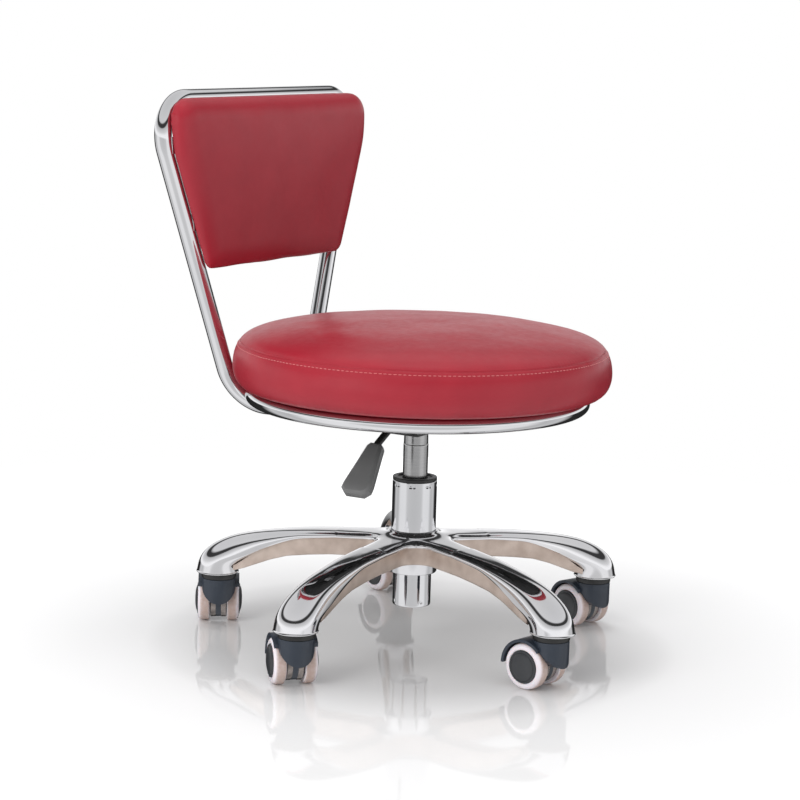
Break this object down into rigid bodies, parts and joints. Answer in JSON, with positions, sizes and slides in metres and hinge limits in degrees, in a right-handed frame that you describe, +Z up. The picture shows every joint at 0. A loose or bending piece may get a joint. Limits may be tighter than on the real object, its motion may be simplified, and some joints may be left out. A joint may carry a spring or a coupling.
{
  "type": "rolling stylist stool",
  "caption": "Low rolling stool with a round padded seat, curved-tube backrest, gas-lift column and a five-arm polished base on twin-wheel casters.",
  "frame": {"origin": "on the floor, under the column's axis", "axes": "+Z up; the sitter faces -Y; the backrest is at +Y; +X is the sitter's left"},
  "size_m": [0.4833, 0.5064, 0.6148],
  "materials": {
    "cast_aluminium": "polished casting",
    "chrome": "bright chrome plate",
    "satin_steel": "ground steel",
    "steel": "zinc plated",
    "black_plastic": "black nylon",
    "lever_plastic": "black moulded, satin",
    "black_paint": "black powder coat",
    "hood_plastic": "slate grey nylon",
    "hub_plastic": "dark grey nylon, satin",
    "tread": "pale polyurethane",
    "black_rubber": "black",
    "red_vinyl": "red vinyl-coated fabric with fine grain, over foam",
    "plywood": "raw plywood",
    "painted_board": "plywood painted black"
  },
  "bodies": {
    "base": {"star_base": "cast_aluminium", "column_tube": "chrome", "guide_bush": "black_plastic", "bearing_lower_race": "steel", "bearing_balls": "steel", "caster_stems": "steel", "caster_collars": "black_plastic"},
    "lift_rod": {"piston_rod": "steel", "piston": "steel", "bearing_upper_race": "steel", "rubber_buffer": "black_rubber", "rod_clip": "steel"},
    "seat": {"gas_cylinder": "satin_steel", "cylinder_end_guide": "black_plastic", "socket_bracket": "black_paint", "lever_pivot_pin": "steel", "support_straps": "black_paint", "seat_ring": "chrome", "seat_bolts": "steel", "t_nuts": "steel", "seat_board": "painted_board", "seat_cushion": "red_vinyl", "back_frame": "chrome", "back_tabs": "chrome", "tab_screws": "steel", "back_board": "plywood", "back_pad": "red_vinyl"},
    "release_pin_body": {"release_pin": "steel"},
    "lever": {"lever_rod": "black_paint", "lever_paddle": "lever_plastic"},
    "caster_1": {"caster_1_hood": "hood_plastic", "caster_1_axle": "steel"},
    "caster_1_left_wheel": {"caster_1_left_tyre": "tread", "caster_1_left_hub": "hub_plastic"},
    "caster_1_right_wheel": {"caster_1_right_tyre": "tread", "caster_1_right_hub": "hub_plastic"},
    "caster_2": {"caster_2_hood": "hood_plastic", "caster_2_axle": "steel"},
    "caster_2_left_wheel": {"caster_2_left_tyre": "tread", "caster_2_left_hub": "hub_plastic"},
    "caster_2_right_wheel": {"caster_2_right_tyre": "tread", "caster_2_right_hub": "hub_plastic"},
    "caster_3": {"caster_3_hood": "hood_plastic", "caster_3_axle": "steel"},
    "caster_3_left_wheel": {"caster_3_left_tyre": "tread", "caster_3_left_hub": "hub_plastic"},
    "caster_3_right_wheel": {"caster_3_right_tyre": "tread", "caster_3_right_hub": "hub_plastic"},
    "caster_4": {"caster_4_hood": "hood_plastic", "caster_4_axle": "steel"},
    "caster_4_left_wheel": {"caster_4_left_tyre": "tread", "caster_4_left_hub": "hub_plastic"},
    "caster_4_right_wheel": {"caster_4_right_tyre": "tread", "caster_4_right_hub": "hub_plastic"},
    "caster_5": {"caster_5_hood": "hood_plastic", "caster_5_axle": "steel"},
    "caster_5_left_wheel": {"caster_5_left_tyre": "tread", "caster_5_left_hub": "hub_plastic"},
    "caster_5_right_wheel": {"caster_5_right_tyre": "tread", "caster_5_right_hub": "hub_plastic"}
  },
  "joints": [
    {"name": "seat_swivel", "type": "hinge", "parent": "base", "child": "lift_rod", "pos_m": [0, 0, 0.058], "axis": [0, 0, 1], "continuous": true},
    {"name": "seat_lift", "type": "slide", "parent": "lift_rod", "child": "seat", "axis": [0, 0, 1], "range_m": [-0.02, 0.06]},
    {"name": "lever_pull", "type": "hinge", "parent": "seat", "child": "lever", "pos_m": [-0.024, 0, 0.2704], "axis": [0, 1, 0], "range_deg": [0, 7], "stiffness_Nm_per_rad": 1, "springref_deg": -5.73},
    {"name": "pin_press", "type": "slide", "parent": "seat", "child": "release_pin_body", "axis": [0, 0, -1], "range_m": [0, 0.0034]},
    {"name": "caster_1_swivel", "type": "hinge", "parent": "base", "child": "caster_1", "pos_m": [0.1885, 0.13004, 0.045], "axis": [0, 0, 1], "continuous": true},
    {"name": "caster_1_left_roll", "type": "hinge", "parent": "caster_1", "child": "caster_1_left_wheel", "pos_m": [0.19653, 0.14726, 0.025], "axis": [-0.9063, 0.4226, 0], "continuous": true},
    {"name": "caster_1_right_roll", "type": "hinge", "parent": "caster_1", "child": "caster_1_right_wheel", "pos_m": [0.19653, 0.14726, 0.025], "axis": [-0.9063, 0.4226, 0], "continuous": true},
    {"name": "caster_2_swivel", "type": "hinge", "parent": "base", "child": "caster_2", "pos_m": [-0.06542, 0.21946, 0.045], "axis": [0, 0, 1], "continuous": true},
    {"name": "caster_2_left_roll", "type": "hinge", "parent": "caster_2", "child": "caster_2_left_wheel", "pos_m": [-0.04976, 0.23022, 0.025], "axis": [-0.5664, 0.8241, 0], "continuous": true},
    {"name": "caster_2_right_roll", "type": "hinge", "parent": "caster_2", "child": "caster_2_right_wheel", "pos_m": [-0.04976, 0.23022, 0.025], "axis": [-0.5664, 0.8241, 0], "continuous": true},
    {"name": "caster_3_swivel", "type": "hinge", "parent": "base", "child": "caster_3", "pos_m": [-0.22893, 0.0056, 0.045], "axis": [0, 0, 1], "continuous": true},
    {"name": "caster_3_left_roll", "type": "hinge", "parent": "caster_3", "child": "caster_3_left_wheel", "pos_m": [-0.2155, 0.01903, 0.025], "axis": [-0.7071, 0.7071, 0], "continuous": true},
    {"name": "caster_3_right_roll", "type": "hinge", "parent": "caster_3", "child": "caster_3_right_wheel", "pos_m": [-0.2155, 0.01903, 0.025], "axis": [-0.7071, 0.7071, 0], "continuous": true},
    {"name": "caster_4_swivel", "type": "hinge", "parent": "base", "child": "caster_4", "pos_m": [-0.07606, -0.216, 0.045], "axis": [0, 0, 1], "continuous": true},
    {"name": "caster_4_left_roll", "type": "hinge", "parent": "caster_4", "child": "caster_4_left_wheel", "pos_m": [-0.07211, -0.19741, 0.025], "axis": [-0.9781, 0.2079, 0], "continuous": true},
    {"name": "caster_4_right_roll", "type": "hinge", "parent": "caster_4", "child": "caster_4_right_wheel", "pos_m": [-0.07211, -0.19741, 0.025], "axis": [-0.9781, 0.2079, 0], "continuous": true},
    {"name": "caster_5_swivel", "type": "hinge", "parent": "base", "child": "caster_5", "pos_m": [0.18192, -0.13909, 0.045], "axis": [0, 0, 1], "continuous": true},
    {"name": "caster_5_left_roll", "type": "hinge", "parent": "caster_5", "child": "caster_5_left_wheel", "pos_m": [0.18842, -0.12123, 0.025], "axis": [-0.9397, 0.342, 0], "continuous": true},
    {"name": "caster_5_right_roll", "type": "hinge", "parent": "caster_5", "child": "caster_5_right_wheel", "pos_m": [0.18842, -0.12123, 0.025], "axis": [-0.9397, 0.342, 0], "continuous": true}
  ],
  "couplings": [
    {"joint": "pin_press", "follows": "lever_pull", "m_per_rad": 0.027}
  ]
}
